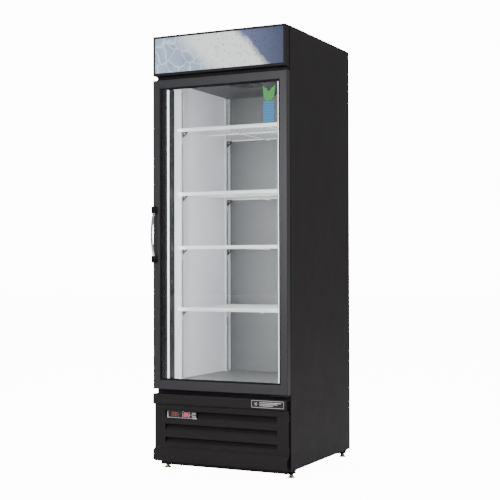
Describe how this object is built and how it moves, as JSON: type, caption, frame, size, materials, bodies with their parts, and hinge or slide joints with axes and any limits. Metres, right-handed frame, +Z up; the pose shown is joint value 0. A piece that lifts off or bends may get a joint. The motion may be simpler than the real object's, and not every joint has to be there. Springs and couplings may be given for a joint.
{
  "type": "glass door merchandiser",
  "caption": "Upright refrigerated display cabinet with a swing glass door, wire shelves, lit header sign, louvred base grille and levelling feet.",
  "frame": {"origin": "on the floor, under the middle of the outer box, handle and rear screws included", "axes": "+Z up, -Y towards the door's front, +X towards the hinge side"},
  "size_m": [0.69, 0.803, 2.027],
  "materials": {
    "badge_silver": "brushed",
    "bezel_silver": "moulded",
    "black_plastic": "fine grain",
    "black_steel": "semi-gloss powder coat",
    "breaker_black": "moulded",
    "bright_steel": "zinc plated",
    "clear_glass": "clear",
    "compressor_black": "gloss",
    "copper": "drawn tube",
    "cover_grey": "satin",
    "display_smoke": "smoked window",
    "door_frame": "satin black anodised look",
    "fin_aluminium": "rolled",
    "foam": "rigid foam",
    "foot_brass": "plated",
    "galvanised": "spangled",
    "handle_chrome": "polished",
    "key_light": "moulded",
    "lamp_tube": "opal tube",
    "led_lens": "opal",
    "liner_white": "smooth white enamel",
    "motor_grey": "satin",
    "pilaster_white": "white enamel",
    "rocker_red": "clear red",
    "seal_rubber": "soft",
    "shelf_white": "plastic-coated wire",
    "sign_print": "backlit sheet",
    "spacer_bar": "matt"
  },
  "bodies": {
    "cabinet": {"side_panel_left": "black_steel", "side_panel_right": "black_steel", "back_panel": "galvanised", "top_panel": "black_steel", "cross_rail": "black_steel", "base_pan": "black_steel", "liner_panels": "liner_white", "foam_insulation": "foam", "breaker_strips": "breaker_black", "header_housing": "black_steel", "header_sign": "sign_print", "header_lamp": "lamp_tube", "hinge_brackets": "black_steel", "hinge_pins": "black_steel", "pilasters": "pilaster_white", "shelf_clips": "black_steel", "cabinet_screws": "bright_steel", "led_holders": "black_plastic", "led_lenses": "led_lens", "evaporator_cover": "cover_grey", "evaporator_coil": "fin_aluminium", "evaporator_fan_motor": "motor_grey", "condenser_coil": "fin_aluminium", "condenser_shroud": "galvanised", "condenser_fan_motor": "motor_grey", "compressor": "compressor_black", "refrigerant_lines": "copper", "condensate_pan": "galvanised", "electrical_box": "galvanised", "rear_grille": "galvanised", "power_inlet": "black_plastic", "front_grille": "black_steel", "badge_plate": "badge_silver", "controller_bezel": "bezel_silver", "controller_display": "display_smoke"},
    "door": {"door_stile_left": "door_frame", "door_stile_right": "door_frame", "door_rail_top": "door_frame", "door_rail_bottom": "door_frame", "glass_panes": "clear_glass", "glass_spacer": "spacer_bar", "door_gasket": "seal_rubber", "hinge_bushes": "black_plastic", "closing_rod": "bright_steel", "door_handle": "handle_chrome", "handle_mounts": "black_plastic"},
    "shelf_body_1": {"shelf_1": "shelf_white"},
    "shelf_body_2": {"shelf_2": "shelf_white"},
    "shelf_body_3": {"shelf_3": "shelf_white"},
    "shelf_body_4": {"shelf_4": "shelf_white"},
    "evaporator_fan": {"evaporator_fan_blade": "black_plastic"},
    "condenser_fan": {"condenser_fan_blade": "black_plastic"},
    "rocker": {"rocker_switch": "rocker_red"},
    "key_up": {"controller_key_up": "key_light"},
    "key_down": {"controller_key_down": "key_light"},
    "foot_body_front_left": {"foot_front_left": "foot_brass"},
    "foot_body_front_right": {"foot_front_right": "foot_brass"},
    "foot_body_rear_left": {"foot_rear_left": "foot_brass"},
    "foot_body_rear_right": {"foot_rear_right": "foot_brass"}
  },
  "joints": [
    {"name": "door_swing", "type": "hinge", "parent": "cabinet", "child": "door", "pos_m": [0.33, -0.3485, 0.378], "axis": [0, 0, 1], "range_deg": [0, 110], "stiffness_Nm_per_rad": 1.6, "springref_deg": -51.57},
    {"name": "shelf_lift_1", "type": "slide", "parent": "cabinet", "child": "shelf_body_1", "axis": [0, 0, 1], "range_m": [0, 0.012]},
    {"name": "shelf_lift_2", "type": "slide", "parent": "cabinet", "child": "shelf_body_2", "axis": [0, 0, 1], "range_m": [0, 0.012]},
    {"name": "shelf_lift_3", "type": "slide", "parent": "cabinet", "child": "shelf_body_3", "axis": [0, 0, 1], "range_m": [0, 0.012]},
    {"name": "shelf_lift_4", "type": "slide", "parent": "cabinet", "child": "shelf_body_4", "axis": [0, 0, 1], "range_m": [0, 0.012]},
    {"name": "evaporator_fan_spin", "type": "hinge", "parent": "cabinet", "child": "evaporator_fan", "pos_m": [0, -0.0755, 1.844], "axis": [0, 0, 1], "continuous": true},
    {"name": "condenser_fan_spin", "type": "hinge", "parent": "cabinet", "child": "condenser_fan", "pos_m": [-0.06, -0.2045, 0.162], "axis": [0, 1, 0], "continuous": true},
    {"name": "rocker_tilt", "type": "hinge", "parent": "cabinet", "child": "rocker", "pos_m": [-0.175, -0.3445, 0.26449], "axis": [0, 0, 1], "range_deg": [0, 16]},
    {"name": "key_up_press", "type": "slide", "parent": "cabinet", "child": "key_up", "axis": [0, 1, 0], "range_m": [0, 0.0015], "stiffness_N_per_m": 400},
    {"name": "key_down_press", "type": "slide", "parent": "cabinet", "child": "key_down", "axis": [0, 1, 0], "range_m": [0, 0.0015], "stiffness_N_per_m": 400},
    {"name": "foot_turn_front_left", "type": "hinge", "parent": "cabinet", "child": "foot_body_front_left", "pos_m": [-0.32, -0.2695, 0], "axis": [0, 0, 1], "range_deg": [0, 1080]},
    {"name": "foot_turn_front_right", "type": "hinge", "parent": "cabinet", "child": "foot_body_front_right", "pos_m": [0.32, -0.2695, 0], "axis": [0, 0, 1], "range_deg": [0, 1080]},
    {"name": "foot_turn_rear_left", "type": "hinge", "parent": "cabinet", "child": "foot_body_rear_left", "pos_m": [-0.32, 0.3535, 0], "axis": [0, 0, 1], "range_deg": [0, 1080]},
    {"name": "foot_turn_rear_right", "type": "hinge", "parent": "cabinet", "child": "foot_body_rear_right", "pos_m": [0.32, 0.3535, 0], "axis": [0, 0, 1], "range_deg": [0, 1080]}
  ]
}
